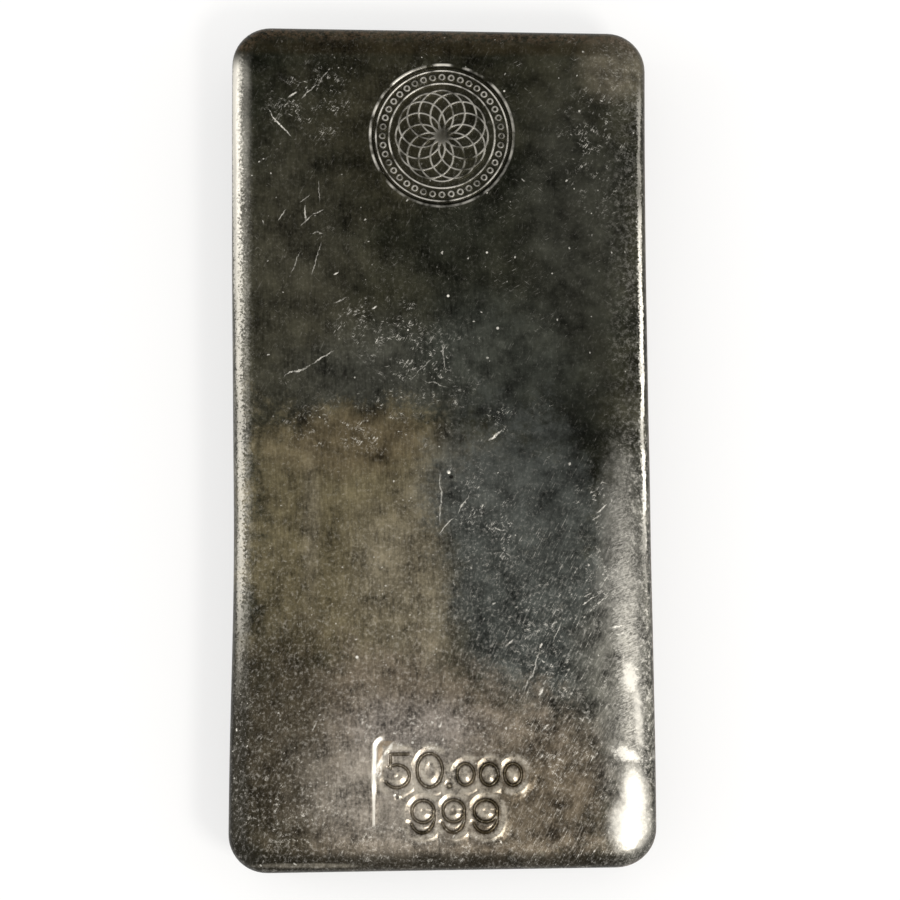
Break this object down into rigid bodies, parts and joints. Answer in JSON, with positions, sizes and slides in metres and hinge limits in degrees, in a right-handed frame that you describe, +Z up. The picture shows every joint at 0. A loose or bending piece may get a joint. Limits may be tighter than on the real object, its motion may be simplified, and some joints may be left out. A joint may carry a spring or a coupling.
{
  "type": "silver bar",
  "caption": "Cast silver bullion bar: a flat oblong block with leaning sides and soft rounded edges, a sunk round seal at one end and a weight stamp at the other.",
  "frame": {"origin": "middle of the base, on the surface that the bar lies on", "axes": "+Z up through the struck face, +Y from the foot end, with the weight stamp, to the head end, with the round seal, +X to the right of the stamp's numerals as they are read"},
  "size_m": [0.0668, 0.1348, 0.0171],
  "materials": {
    "silver": "cast silver, darkly toned, bright where it is worn"
  },
  "bodies": {
    "root": {"silver_bar": "silver"}
  },
  "joints": []
}
